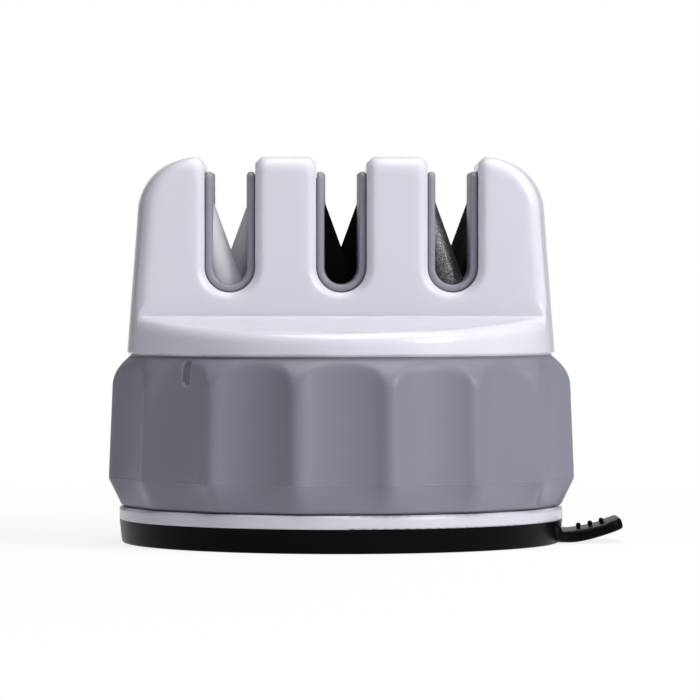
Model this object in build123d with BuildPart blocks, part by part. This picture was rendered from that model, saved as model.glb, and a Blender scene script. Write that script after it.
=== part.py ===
from build123d import *
import os
from math import asin, atan, atan2, cos, degrees, hypot, radians, sin, tan

# Manual knife sharpener on a twist-lock suction base.
# The axis of the round body is Z, the table is at z = 0 and the front looks along -Y.

# Clearances, per side
fit_gap = 0.1  # pieces assembled against each other
running_gap = 0.3  # pieces that turn or slide past each other

# Round body, stacked from the table upwards
base_radius = 35.4
pad_thickness = 3.5
base_rim_height = 2.35
ring_height = 23.5
housing_height = 31.25

# Suction pad and its stiff core
pad_inset = 0.4  # the pad's foot inside the base disc
pad_flare = 0.35  # the pad's upper edge outside its foot
pad_foot_round = 0.6
pad_skin = 1.5  # rubber under the core
core_radius = 20.0
core_gap = 0.5  # room over the core when it is lifted
stem_radius = 5.5
tongue_inset = 3.8  # rubber ring that sits in a groove of the base, inside the base disc
tongue_width = 1.6
tongue_height = 1.1

# Release tab at the pad's right edge
root_reach = 0.9  # end of the flared root beyond the base disc
root_flare = 3.5  # extra half width of the root where it leaves the pad
hinge_gap = 0.2
tab_width = 15.0
tab_length = 8.5
tab_lift = 0.15  # underside above the table
tab_thickness = 2.2
tab_flat = 3.3  # flat stretch of the underside
tab_sweep = 1.85  # rise of the underside at the tip
tab_slope = 11.4  # rise of the upper side, degrees
tab_corner = 2.5
tab_edge_round = 0.7
tab_rib_places = (1.6, 3.3, 5.3)  # from the tab's root
tab_rib_radius = 0.6
tab_rib_height = 0.4

# Base plate with its guide tube
base_wall = 2.2
base_edge_round = 0.5
hat_side_gap = 1.5  # room around the core
tube_bore = 7.0
boss_radius = 2.8
screw_circle = 10.6
screw_count = 4

# Lock ring
flute_count = 16
ridge_phase = 11.7  # first ridge to the right of the front, degrees
ridge_overhang = 2.15  # widest part of a ridge beyond the base disc
ridge_round = 2.4
flute_depth = 2.1
skirt_flute_depth = 0.5  # what is left of the flutes at the lower edge
crease_height = 4.25  # widest line above the ring's lower edge
ring_draft = 2.4
crown_inset = 1.35  # chamfer's upper edge inside the base disc
crown_lean = 37.4  # chamfer from the vertical, degrees
crown_round = 0.8
ring_wall = 3.4  # from the base disc's radius to the ring's bore
ring_web = 2.0
mark_width = 1.2
mark_length = 3.6
mark_depth = 0.8
mark_drop = 2.3  # middle of the index mark below the ring's top
mark_flute = -2  # flute that carries the mark, counted from the front

# Cam between the ring and the yoke
lock_turn = 75.0  # degrees
lock_lift = 3.0
cam_gap = 0.4  # between the base's hat and the ring's web
ramp_base = 2.4  # lowest ramp above the web
ramp_steps = 5
stop_height = 3.0  # stop walls above the highest ramp
sleeve_wall = 3.5
arm_radius = 2.0
arm_crest = 2.8  # arms' top above their axis
hub_crest = 3.6  # hub's top above the arms' axis
hub_sole = 0.5  # hub's lower end under the arms

# Yoke screw, washer and return spring
yoke_screw_radius = 1.5
yoke_screw_head_radius = 2.8
yoke_screw_head_height = 1.8
yoke_screw_grip = 8.0  # length in the stem
washer_radius = 3.6
washer_thickness = 0.6
hub_pocket = 3.0
spring_radius = 5.4
spring_wire = 0.8
spring_turns = 3
spring_boss_height = 1.0

# Screws of the guide tube
tube_screw_radius = 1.2
tube_screw_head_radius = 2.3
tube_screw_head_height = 1.4
tube_screw_grip = 9.0
recess_length = 3.0  # cross recess in every screw head
recess_width = 0.7
recess_depth = 0.8

# Top housing
housing_inset = 1.2  # its rim inside the base disc
housing_draft = 4.3
shoulder_radius = 8.8
housing_wall = 2.2
rim_face = 3.55  # upright face of the rim
rim_chamfer = 0.4
shelf_slope = 5.6
scoop_radius = 0.6
tower_thickness = 20.6
edge_round = 2.0
mouth_chamfer = 1.0
floor_spigot = 2.15  # housing floor below the housing's lower edge

# Snap hooks between the floor and the housing
hook_gap = 1.0  # beside the outer liners' blocks
hook_length = 4.0
hook_thickness = 1.4
hook_height = 9.0
hook_barb = 0.7
hook_lead = 1.8

# Blade slots and their liners
slot_pitch = 17.6
slot_gap = 5.0  # at its narrowest, in the middle
liner_wall = 1.4
liner_drop = 2.3  # liner's top under the housing's top
liner_recess = 1.8  # liner's ends behind the housing's face
liner_round = 0.45
liner_cap = 1.1  # round at both ends of the liner's top
liner_draft = 2.0  # the slot widens towards both ends, degrees
collar_rise = 0.7  # collar behind the housing's wall, around the liner
collar_drop = 1.0  # collar's top under the liner's top
apron_height = 4.03  # housing's face under a slot
block_width = 11.0
block_gap = 0.4
block_rise = 1.0  # block's top over the slot's lower end
socket_floor = 4.0

# Abrasives
v_half_angle = 20.0
v_rise = 5.8  # point of the V above the liner's floor
v_rise_fine = 5.6
rod_radius = 2.5
rod_spacing = 2.0  # between the front and the rear rod
rod_chamfer = 0.3
plate_width = 5.0
plate_thickness = 2.4
plate_spacing = 0.8
abrasive_headroom = 3.1  # under the roof

# Levels and radii that follow from the sizes above
pad_top = pad_thickness
rim_top = pad_top + base_rim_height
ring_bottom = rim_top + running_gap
ring_top = ring_bottom + ring_height
housing_bottom = ring_top + running_gap
housing_top = housing_bottom + housing_height
hat_under = pad_top + lock_lift + core_gap
hat_top = hat_under + base_wall
web_bottom = hat_top + cam_gap
web_top = web_bottom + ring_web
ramp_low = web_top + ramp_base
ramp_high = ramp_low + lock_lift
sleeve_top = ramp_high + stop_height
pad_radius = base_radius - pad_inset
tongue_radius = base_radius - tongue_inset - tongue_width
ring_bore = base_radius - ring_wall
floor_radius = ring_bore - running_gap
tube_radius = tube_bore + base_wall
collar_radius = screw_circle + boss_radius + running_gap
sleeve_bore = collar_radius + running_gap
sleeve_radius = sleeve_bore + sleeve_wall
ramp_angle = atan(lock_lift / (sleeve_bore * radians(lock_turn)))
arm_axis = ramp_low + (arm_radius + running_gap) / cos(ramp_angle)
hub_radius = tube_bore - running_gap
hub_bottom = arm_axis - arm_radius - hub_sole
hub_top = arm_axis + hub_crest
housing_radius = base_radius - housing_inset
shelf_edge = housing_bottom + rim_face
tower_face = tower_thickness / 2
cavity_face = tower_face - housing_wall
shelf_corner = shelf_edge + (housing_radius - tower_face) * tan(radians(shelf_slope))
floor_top = shelf_edge - housing_wall
floor_bottom = housing_bottom - floor_spigot
slot_bottom = shelf_corner + apron_height
liner_floor = slot_bottom + liner_wall
liner_top = housing_top - liner_drop
abrasive_foot = floor_top + socket_floor
abrasive_top = housing_top - housing_wall - abrasive_headroom
barb_ledge = floor_top + hook_height
hook_place = slot_pitch + block_width / 2 + hook_gap + hook_length / 2
tab_hinge = base_radius + root_reach + hinge_gap / 2

os.makedirs("parts", exist_ok=True)


# A point of the plan, from its radius and its angle in radians.
def polar_point(radius, angle):
    return (radius * cos(angle), radius * sin(angle))


# Outline of round ridges and shallow flutes in turn, every arc tangent to the next.
def draw_flutes(ridge_radius, depth):
    half_step = radians(180 / flute_count)
    floor = ridge_radius - depth
    ridge_centre = ridge_radius - ridge_round
    near = ridge_centre * cos(half_step)
    flute_round = floor**2 + ridge_centre**2 - 2 * floor * near - ridge_round**2
    flute_round /= 2 * (near + ridge_round - floor)
    flute_centre = floor + flute_round
    share = ridge_round / (flute_round + ridge_round)
    touch_x = ridge_centre + share * (flute_centre * cos(half_step) - ridge_centre)
    touch_y = share * flute_centre * sin(half_step)
    touch = hypot(touch_x, touch_y)
    turn = atan2(touch_y, touch_x)
    with BuildLine() as outline:
        for index in range(flute_count):
            ridge = radians(ridge_phase - 90) + 2 * half_step * index
            flute = ridge + half_step
            following = ridge + 2 * half_step
            ridge_end = polar_point(touch, ridge + turn)
            next_start = polar_point(touch, following - turn)
            ThreePointArc(polar_point(touch, ridge - turn), polar_point(ridge_radius, ridge), ridge_end)
            ThreePointArc(ridge_end, polar_point(floor, flute), next_start)
    make_face(outline.edges())


# U-shaped slot: a round lower end and straight sides up to a level.
def draw_slot(centre, half_width, bottom, top, mode=Mode.ADD):
    arc_level = bottom + half_width
    with Locations((centre, arc_level)):
        Circle(half_width, mode=mode)
        Rectangle(2 * half_width, top - arc_level, align=(Align.CENTER, Align.MIN), mode=mode)


# Half section of the housing's turned body, or of the room inside it, with its rounded shoulder.
def draw_turned_half(inset, bottom):
    lean = tan(radians(housing_draft))
    side = housing_radius - inset / cos(radians(housing_draft))
    top = housing_top - inset
    with BuildLine() as outline:
        Polyline(
            (0, bottom),
            (side - (bottom - housing_bottom) * lean, bottom),
            (side - (top - housing_bottom) * lean, top),
            (0, top),
            close=True,
        )
    half = make_face(outline.edges())
    fillet(half.vertices().group_by(Axis.Y)[-1].sort_by(Axis.X)[-1], shoulder_radius - inset)


# Cross recess cut into the heads of screws around the given places.
def cut_cross(level, places):
    with BuildSketch(Plane.XY.offset(level)) as cross:
        with Locations(*places):
            Rectangle(recess_length, recess_width)
            Rectangle(recess_width, recess_length)
    extrude(cross.sketch, amount=-recess_depth, mode=Mode.SUBTRACT)


# Suction pad: rubber disc with a pocket for the core, a tongue ring and the tab's flared root
with BuildPart() as suction_pad:
    with BuildSketch(Plane.XZ):
        with BuildLine():
            Polyline((0, 0), (pad_radius, 0), (pad_radius + pad_flare, pad_top), (0, pad_top), close=True)
        make_face()
    revolve(axis=Axis.Z)
    fillet(suction_pad.edges().filter_by(GeomType.CIRCLE).group_by(Axis.Z)[0], pad_foot_round)
    with BuildSketch(Plane.XY.offset(pad_top)):
        Circle(tongue_radius + tongue_width)
        Circle(tongue_radius, mode=Mode.SUBTRACT)
    extrude(amount=tongue_height)
    with BuildSketch(Plane.XY.offset(pad_skin)):
        Circle(core_radius + fit_gap)
    extrude(amount=pad_top - pad_skin, mode=Mode.SUBTRACT)
    with BuildSketch(Plane.XY.offset(tab_lift)):
        root_start = pad_radius - root_flare
        root_end = base_radius + root_reach
        root_half = tab_width / 2
        with BuildLine():
            Polyline(
                (root_start, -root_half - root_flare),
                (root_end, -root_half),
                (root_end, root_half),
                (root_start, root_half + root_flare),
                close=True,
            )
        make_face()
    extrude(amount=tab_thickness)
suction_pad.part.label = "suction_pad"
export_step(suction_pad.part, "parts/suction_pad.step")

# Release tab: swept-up rubber tongue with grip ribs across it, bending at its root
with BuildPart() as release_tab:
    tab_root = tab_hinge + hinge_gap / 2
    tab_tip = tab_root + tab_length
    tab_upper = tab_lift + tab_thickness
    slope = tan(radians(tab_slope))
    with BuildSketch(Plane.XZ):
        with BuildLine():
            tab_under = Line((tab_root, tab_lift), (tab_root + tab_flat, tab_lift))
            tab_bend = TangentArc(tab_under @ 1, (tab_tip, tab_lift + tab_sweep), tangent=(1, 0))
            tab_end = Line(tab_bend @ 1, (tab_tip, tab_upper + tab_length * slope))
            tab_over = Line(tab_end @ 1, (tab_root, tab_upper))
            Line(tab_over @ 1, tab_under @ 0)
        tab_side = make_face()
        fillet(tab_side.vertices().sort_by(Axis.X)[-2:], tab_edge_round)
        for place in tab_rib_places:
            with Locations((tab_root + place, tab_upper + place * slope + tab_rib_height - tab_rib_radius)):
                Circle(tab_rib_radius)
    extrude(amount=tab_width / 2, both=True)
    with BuildSketch(Plane.XY):
        with Locations((tab_root, 0)):
            tab_plan = Rectangle(tab_length, tab_width, align=(Align.MIN, Align.CENTER))
        fillet(tab_plan.vertices().group_by(Axis.X)[-1], tab_corner)
    extrude(amount=tab_upper + tab_length, mode=Mode.INTERSECT)
release_tab.part.label = "release_tab"
export_step(release_tab.part, "parts/release_tab.step")

# Pad core: stiff disc in the rubber, with the stem that lifts it
with BuildPart() as pad_core:
    with BuildSketch(Plane.XY.offset(pad_skin)):
        Circle(core_radius)
    extrude(amount=pad_top - pad_skin)
    with BuildSketch(Plane.XY.offset(pad_top)):
        Circle(stem_radius)
    extrude(amount=hub_bottom - pad_top)
    with BuildSketch(Plane.XY.offset(hub_bottom)):
        Circle(yoke_screw_radius + fit_gap)
    extrude(amount=-yoke_screw_grip - fit_gap, mode=Mode.SUBTRACT)
pad_core.part.label = "pad_core"
export_step(pad_core.part, "parts/pad_core.step")

# Base plate: rim disc, raised hat over the core, bearing collar, guide tube and screw bosses
with BuildPart() as base_plate:
    with BuildSketch(Plane.XZ):
        hat_inner = core_radius + hat_side_gap
        with BuildLine():
            Polyline(
                (tube_bore, hat_under),
                (hat_inner, hat_under),
                (hat_inner, pad_top),
                (base_radius, pad_top),
                (base_radius, rim_top),
                (hat_inner + base_wall, rim_top),
                (hat_inner + base_wall, hat_top),
                (collar_radius, hat_top),
                (collar_radius, web_top),
                (tube_radius, web_top),
                (tube_radius, floor_bottom),
                (tube_bore, floor_bottom),
                close=True,
            )
        make_face()
    revolve(axis=Axis.Z)
    fillet(base_plate.edges().filter_by(GeomType.CIRCLE).sort_by(SortBy.RADIUS)[-2:], base_edge_round)
    with BuildSketch(Plane.XY.offset(web_top)):
        with PolarLocations(screw_circle, screw_count, start_angle=45):
            Circle(boss_radius)
        Circle(tube_bore, mode=Mode.SUBTRACT)
    extrude(amount=floor_bottom - web_top)
    with BuildSketch(Plane.XY.offset(floor_bottom)):
        with PolarLocations(screw_circle, screw_count, start_angle=45):
            Circle(tube_screw_radius + fit_gap)
    extrude(amount=-tube_screw_grip - fit_gap, mode=Mode.SUBTRACT)
    with BuildSketch(Plane.XY.offset(hub_bottom - running_gap)):
        Rectangle(2 * (arm_radius + running_gap), 2 * (tube_radius + running_gap))
    extrude(amount=floor_bottom - hub_bottom + running_gap, mode=Mode.SUBTRACT)
    with BuildSketch(Plane.XY.offset(pad_top)):
        Circle(tongue_radius + tongue_width + fit_gap)
        Circle(tongue_radius - fit_gap, mode=Mode.SUBTRACT)
    extrude(amount=tongue_height + fit_gap, mode=Mode.SUBTRACT)
base_plate.part.label = "base_plate"
export_step(base_plate.part, "parts/base_plate.step")

# Lock ring: fluted wall, web and cam sleeve with two rising ramps between stop walls
with BuildPart() as lock_ring:
    ridge_radius = base_radius + ridge_overhang
    crease = ring_bottom + crease_height
    ridge_top = ridge_radius - (ring_top - crease) * tan(radians(ring_draft))
    with BuildSketch(Plane.XY.offset(ring_bottom)):
        draw_flutes(base_radius, skirt_flute_depth)
    with BuildSketch(Plane.XY.offset(crease)):
        draw_flutes(ridge_radius, flute_depth)
    with BuildSketch(Plane.XY.offset(ring_top)):
        draw_flutes(ridge_top, flute_depth)
    loft(ruled=True)
    with BuildSketch(Plane.XZ):
        crown_radius = base_radius - crown_inset
        crown_reach = ridge_radius + ridge_overhang
        crown_low = ring_top - (crown_reach - crown_radius) / tan(radians(crown_lean))
        with BuildLine():
            Polyline(
                (0, ring_bottom),
                (crown_reach, ring_bottom),
                (crown_reach, crown_low),
                (crown_radius, ring_top),
                (0, ring_top),
                close=True,
            )
        crown_half = make_face()
        fillet(crown_half.vertices().group_by(Axis.Y)[-1].sort_by(Axis.X)[-1], crown_round)
    revolve(axis=Axis.Z, mode=Mode.INTERSECT)
    with BuildSketch(Plane.XZ):
        with BuildLine():
            Polyline(
                (0, ring_bottom),
                (ring_bore, ring_bottom),
                (ring_bore, web_bottom),
                (sleeve_bore, web_bottom),
                (sleeve_bore, sleeve_top),
                (sleeve_radius, sleeve_top),
                (sleeve_radius, web_top),
                (ring_bore, web_top),
                (ring_bore, ring_top),
                (0, ring_top),
                close=True,
            )
        make_face()
    revolve(axis=Axis.Z, mode=Mode.SUBTRACT)
    stop_turn = degrees(asin((arm_radius + running_gap) / sleeve_bore))
    ramp_angles = [90 - lock_turn * step / ramp_steps for step in range(ramp_steps + 1)]
    ramp_levels = [ramp_low + lock_lift * step / ramp_steps for step in range(ramp_steps + 1)]
    ramp_angles = [ramp_angles[0] + stop_turn, *ramp_angles, ramp_angles[-1] - stop_turn]
    ramp_levels = [ramp_low, *ramp_levels, ramp_high]
    ramp_section = (sleeve_wall + 2 * running_gap, stop_height + lock_lift + running_gap)
    for half_turn in (0, 180):
        for angle, level in zip(ramp_angles, ramp_levels):
            outward = polar_point(1, radians(angle + half_turn))
            with BuildSketch(Plane((0, 0, 0), x_dir=(*outward, 0), z_dir=(outward[1], -outward[0], 0))):
                with Locations((sleeve_bore - running_gap, level)):
                    Rectangle(*ramp_section, align=Align.MIN)
        loft(ruled=True, mode=Mode.SUBTRACT)
    mark_angle = radians(ridge_phase - 90 + 360 / flute_count * (mark_flute - 0.5))
    mark_outward = polar_point(1, mark_angle)
    mark_radius = ridge_top - flute_depth
    mark_level = ring_top - mark_drop
    mark_origin = (mark_radius * mark_outward[0], mark_radius * mark_outward[1], mark_level)
    with BuildSketch(Plane(mark_origin, x_dir=(0, 0, 1), z_dir=(*mark_outward, 0))):
        SlotOverall(mark_length, mark_width)
    extrude(amount=mark_depth, both=True, mode=Mode.SUBTRACT)
lock_ring.part.label = "lock_ring"
export_step(lock_ring.part, "parts/lock_ring.step")

# Lift yoke: hub that slides in the guide tube, with two arms on the ramps
with BuildPart() as lift_yoke:
    with BuildSketch(Plane.XY.offset(hub_bottom)):
        Circle(hub_radius)
    extrude(amount=hub_top - hub_bottom)
    with BuildSketch(Plane.XZ):
        with Locations((0, arm_axis)):
            Circle(arm_radius)
            Rectangle(2 * arm_radius, arm_crest, align=(Align.CENTER, Align.MIN))
    extrude(amount=sleeve_radius - running_gap, both=True)
    with Locations((0, 0, hub_top)):
        CounterBoreHole(yoke_screw_radius + fit_gap, washer_radius + fit_gap, hub_pocket)
lift_yoke.part.label = "lift_yoke"
export_step(lift_yoke.part, "parts/lift_yoke.step")

# Washer and screw in the hub's pocket
with BuildPart() as yoke_washer:
    with BuildSketch(Plane.XY.offset(hub_top - hub_pocket)):
        Circle(washer_radius)
        Circle(yoke_screw_radius + fit_gap, mode=Mode.SUBTRACT)
    extrude(amount=washer_thickness)
yoke_washer.part.label = "yoke_washer"
export_step(yoke_washer.part, "parts/yoke_washer.step")

with BuildPart() as yoke_screw:
    head_seat = hub_top - hub_pocket + washer_thickness
    with BuildSketch(Plane.XY.offset(head_seat)):
        Circle(yoke_screw_head_radius)
    extrude(amount=yoke_screw_head_height)
    with BuildSketch(Plane.XY.offset(head_seat)):
        Circle(yoke_screw_radius)
    extrude(amount=hub_bottom - yoke_screw_grip - head_seat)
    cut_cross(head_seat + yoke_screw_head_height, [(0, 0)])
yoke_screw.part.label = "yoke_screw"
export_step(yoke_screw.part, "parts/yoke_screw.step")

# Return spring between the yoke and the housing floor
with BuildPart() as return_spring:
    spring_end = spring_wire / 2 + fit_gap
    spring_height = floor_bottom - hub_top - 2 * spring_end
    with BuildLine() as spring_path:
        Helix(spring_height / spring_turns, spring_height, spring_radius, center=(0, 0, hub_top + spring_end))
    with BuildSketch(Plane(spring_path.line @ 0, z_dir=spring_path.line % 0)):
        Circle(spring_wire / 2)
    sweep(is_frenet=True)
return_spring.part.label = "return_spring"
export_step(return_spring.part, "parts/return_spring.step")

# Housing floor: disc that centres the ring, with counterbored screw holes and four snap hooks
with BuildPart() as housing_floor:
    with BuildSketch(Plane.XY.offset(floor_bottom)):
        Circle(floor_radius)
    extrude(amount=floor_top - floor_bottom)
    with BuildSketch(Plane.XY.offset(floor_bottom)):
        Circle(spring_radius - spring_wire / 2 - running_gap)
    extrude(amount=-spring_boss_height)
    with Locations((0, 0, floor_top)):
        with PolarLocations(screw_circle, screw_count, start_angle=45):
            CounterBoreHole(
                tube_screw_radius + fit_gap,
                tube_screw_head_radius + fit_gap,
                tube_screw_head_height + fit_gap,
            )
    hook_face = cavity_face - fit_gap
    barb_tip = cavity_face + hook_barb
    for side in (-1, 1):
        with BuildSketch(Plane.YZ.offset(side * hook_place - hook_length / 2)):
            with BuildLine():
                Polyline(
                    (hook_face - hook_thickness, floor_top),
                    (hook_face, floor_top),
                    (hook_face, barb_ledge),
                    (barb_tip, barb_ledge),
                    (hook_face, barb_ledge + hook_lead),
                    (hook_face - hook_thickness, barb_ledge + hook_lead),
                    close=True,
                )
            make_face()
            mirror(about=Plane.YZ)
        extrude(amount=hook_length)
housing_floor.part.label = "housing_floor"
export_step(housing_floor.part, "parts/housing_floor.step")

# Four equal screws from the floor into the guide tube's bosses
with BuildPart() as tube_screws:
    tube_head_seat = floor_top - tube_screw_head_height - fit_gap
    with BuildSketch(Plane.XY.offset(tube_head_seat)):
        with PolarLocations(screw_circle, screw_count, start_angle=45) as tube_screw_places:
            Circle(tube_screw_head_radius)
    extrude(amount=tube_screw_head_height)
    with BuildSketch(Plane.XY.offset(tube_head_seat)):
        with PolarLocations(screw_circle, screw_count, start_angle=45):
            Circle(tube_screw_radius)
    extrude(amount=floor_bottom - tube_screw_grip - tube_head_seat)
    cut_cross(tube_head_seat + tube_screw_head_height, tube_screw_places.locations)
tube_screws.part.label = "tube_screws"
export_step(tube_screws.part, "parts/tube_screws.step")

# Blade slots from left to right: their liner, V point and crossed abrasives
slots = [
    {"grade": "fine", "centre": -slot_pitch, "v_rise": v_rise_fine, "abrasive": "ceramic_rod"},
    {"grade": "medium", "centre": 0.0, "v_rise": v_rise, "abrasive": "carbide_plate"},
    {"grade": "coarse", "centre": slot_pitch, "v_rise": v_rise, "abrasive": "diamond_rod"},
]


# Foot plane and length of an abrasive that leans over the slot's centre.
# Its inner edge goes through the point of the V, and the front one leans to the left.
def abrasive_seat(slot, side, half_width, depth):
    lean = radians(v_half_angle)
    across = slot["centre"] + side * half_width * cos(lean)
    level = liner_floor + slot["v_rise"] - half_width * sin(lean)
    foot = across + side * (abrasive_foot - level) * tan(lean)
    seat = Plane((foot, side * depth, abrasive_foot), x_dir=(0, 1, 0), z_dir=(side * sin(lean), 0, cos(lean)))
    return seat, (abrasive_top - abrasive_foot) / cos(lean)


seat_align = (Align.CENTER, Align.CENTER, Align.MIN)
for slot in slots:
    is_plate = slot["abrasive"] == "carbide_plate"
    half_width = plate_width / 2 if is_plate else rod_radius
    depth = (plate_thickness + plate_spacing) / 2 if is_plate else rod_radius + rod_spacing / 2
    ends = {"front": -1, "rear": 1}
    seats = {end: abrasive_seat(slot, side, half_width, depth) for end, side in ends.items()}

    for end, (seat, length) in seats.items():
        with BuildPart(seat) as abrasive:
            if is_plate:
                Box(plate_thickness, plate_width, length, align=seat_align)
                chamfer(abrasive.faces().sort_by(Axis.Z)[-1].edges(), rod_chamfer)
            else:
                Cylinder(rod_radius, length, align=seat_align)
                chamfer(abrasive.edges().filter_by(GeomType.CIRCLE), rod_chamfer)
        abrasive.part.label = f"{slot['abrasive']}_{end}"
        export_step(abrasive.part, f"parts/{slot['abrasive']}_{end}.step")

    # Liner: U-shaped guide on a block that stands on the floor and holds the abrasives.
    # Its front half is mirrored, and the sockets are cut last.
    with BuildPart() as liner:
        liner_half = slot_gap / 2 + liner_wall
        liner_end = tower_face - liner_recess
        with BuildSketch(Plane.XZ):
            draw_slot(slot["centre"], liner_half, slot_bottom, liner_top)
        extrude(amount=liner_end)
        with BuildSketch(Plane.XZ):
            collar_half = liner_half + collar_rise
            draw_slot(slot["centre"], collar_half, slot_bottom - collar_rise, liner_top - collar_drop)
        extrude(amount=cavity_face - fit_gap)
        with Locations((slot["centre"], 0, floor_top)):
            block_height = slot_bottom + block_rise - floor_top
            block_align = (Align.CENTER, Align.MAX, Align.MIN)
            Box(block_width, cavity_face - block_gap, block_height, align=block_align)
        with BuildSketch(Plane.XZ):
            draw_slot(slot["centre"], slot_gap / 2, liner_floor, housing_top)
        extrude(amount=liner_end, taper=-liner_draft, mode=Mode.SUBTRACT)
        fillet(liner.edges().filter_by(Axis.X).group_by(Axis.Z)[-1].group_by(Axis.Y)[0], liner_cap)
        end_edges = liner.edges().group_by(Axis.Y)[0].filter_by(Axis.X, reverse=True)
        lip_edges = liner.edges().group_by(Axis.Z)[-1].filter_by(Axis.X, reverse=True)
        fillet(end_edges + lip_edges, liner_round)
        mirror(about=Plane.XZ)
        for seat, length in seats.values():
            with Locations(seat):
                if is_plate:
                    socket = (plate_thickness + 2 * fit_gap, plate_width + 2 * fit_gap, 2 * length)
                    Box(*socket, align=seat_align, mode=Mode.SUBTRACT)
                else:
                    Cylinder(rod_radius + fit_gap, 2 * length, align=seat_align, mode=Mode.SUBTRACT)
    liner.part.label = f"slot_liner_{slot['grade']}"
    export_step(liner.part, f"parts/slot_liner_{slot['grade']}.step")

# Room inside the tower, as a core
with BuildPart() as housing_core:
    with BuildSketch(Plane.XZ):
        draw_turned_half(housing_wall, housing_bottom)
    revolve(axis=Axis.Z)
    with BuildSketch(Plane.XZ):
        Rectangle(2 * base_radius, 2 * housing_top)
    extrude(amount=cavity_face, both=True, mode=Mode.INTERSECT)

# Top housing: turned shell with scooped front and back, three slots and snap pockets
with BuildPart() as top_housing:
    with BuildSketch(Plane.XZ):
        draw_turned_half(0, housing_bottom)
    revolve(axis=Axis.Z)
    with BuildSketch(Plane.YZ):
        reach = base_radius + housing_wall
        reach_level = shelf_corner - (reach - tower_face) * tan(radians(shelf_slope))
        with BuildLine():
            Polyline(
                (tower_face, shelf_corner),
                (tower_face, housing_top + housing_wall),
                (reach, housing_top + housing_wall),
                (reach, reach_level),
                close=True,
            )
        scoop = make_face()
        fillet(scoop.vertices().group_by(Axis.X)[0].sort_by(Axis.Y)[0], scoop_radius)
        mirror(about=Plane.YZ)
    extrude(amount=base_radius, both=True, mode=Mode.SUBTRACT)
    scoop_edges = top_housing.edges().filter_by(lambda edge: abs(edge.center().Y) > tower_face - fit_gap)
    crease_edges = scoop_edges.filter_by(Axis.X).filter_by_position(Axis.Z, housing_bottom, slot_bottom)
    fillet(scoop_edges - crease_edges, edge_round)
    chamfer(top_housing.edges().group_by(Axis.Z)[0], rim_chamfer)
    cut_half = slot_gap / 2 + liner_wall + fit_gap
    with BuildSketch(Plane.XZ):
        for slot in slots:
            draw_slot(slot["centre"], cut_half, slot_bottom - fit_gap, housing_top)
    extrude(amount=base_radius, both=True, mode=Mode.SUBTRACT)
    for slot in slots:
        left = slot["centre"] - cut_half - fit_gap
        right = slot["centre"] + cut_half + fit_gap
        slot_edges = top_housing.edges().filter_by(
            lambda edge: edge.bounding_box().min.X > left and edge.bounding_box().max.X < right
        )
        through_edges = slot_edges.filter_by(Axis.Y)
        arc_edges = through_edges.filter_by_position(Axis.Z, housing_bottom, housing_top - fit_gap)
        chamfer(slot_edges - arc_edges, mouth_chamfer)
    add(housing_core.part, mode=Mode.SUBTRACT)
    with BuildSketch(Plane.XY.offset(housing_bottom)):
        Circle(floor_radius + fit_gap)
    extrude(amount=floor_top - housing_bottom, mode=Mode.SUBTRACT)
    pocket_depth = hook_barb + 2 * fit_gap
    pocket_size = (hook_length + 2 * fit_gap, 2 * pocket_depth, hook_lead + 2 * fit_gap)
    with Locations((0, 0, barb_ledge - fit_gap)):
        with GridLocations(2 * hook_place, 2 * cavity_face, 2, 2):
            Box(*pocket_size, align=seat_align, mode=Mode.SUBTRACT)
top_housing.part.label = "top_housing"
export_step(top_housing.part, "parts/top_housing.step")
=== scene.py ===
import bpy
import math
import numpy as np
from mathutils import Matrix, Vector


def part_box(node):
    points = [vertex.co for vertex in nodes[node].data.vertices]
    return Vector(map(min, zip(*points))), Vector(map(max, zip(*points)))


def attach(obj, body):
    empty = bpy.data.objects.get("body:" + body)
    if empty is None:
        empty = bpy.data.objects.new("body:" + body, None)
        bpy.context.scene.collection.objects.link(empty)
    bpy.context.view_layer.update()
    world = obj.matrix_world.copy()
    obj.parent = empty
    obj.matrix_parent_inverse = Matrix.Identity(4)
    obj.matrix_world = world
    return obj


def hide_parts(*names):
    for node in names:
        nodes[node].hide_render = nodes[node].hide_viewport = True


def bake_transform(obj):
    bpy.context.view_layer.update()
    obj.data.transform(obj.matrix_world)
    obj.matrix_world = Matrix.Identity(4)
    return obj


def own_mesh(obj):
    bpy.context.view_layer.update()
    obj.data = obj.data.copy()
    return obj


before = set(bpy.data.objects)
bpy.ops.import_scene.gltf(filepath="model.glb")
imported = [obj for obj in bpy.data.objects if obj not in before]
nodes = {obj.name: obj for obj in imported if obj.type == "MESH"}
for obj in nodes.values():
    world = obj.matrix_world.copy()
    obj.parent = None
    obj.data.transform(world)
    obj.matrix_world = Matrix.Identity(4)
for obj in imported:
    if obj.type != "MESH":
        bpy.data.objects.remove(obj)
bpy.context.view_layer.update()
mm = 0.001
print("frame loaded:", len(nodes), "CAD nodes")


# lowest and highest corner of a CAD node, in millimetres
def boxOf(node):
    low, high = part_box(node)
    return np.array(low) / mm, np.array(high) / mm


# smaller of two values, rounded over where they cross
def softMin(first, second, width):
    share = np.clip(0.5 + 0.5 * (second - first) / width, 0, 1)
    return second + (first - second) * share - width * share * (1 - share)


def smoothStep(low, high, value):
    share = np.clip((value - low) / (high - low), 0, 1)
    return share * share * (3 - 2 * share)


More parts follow.
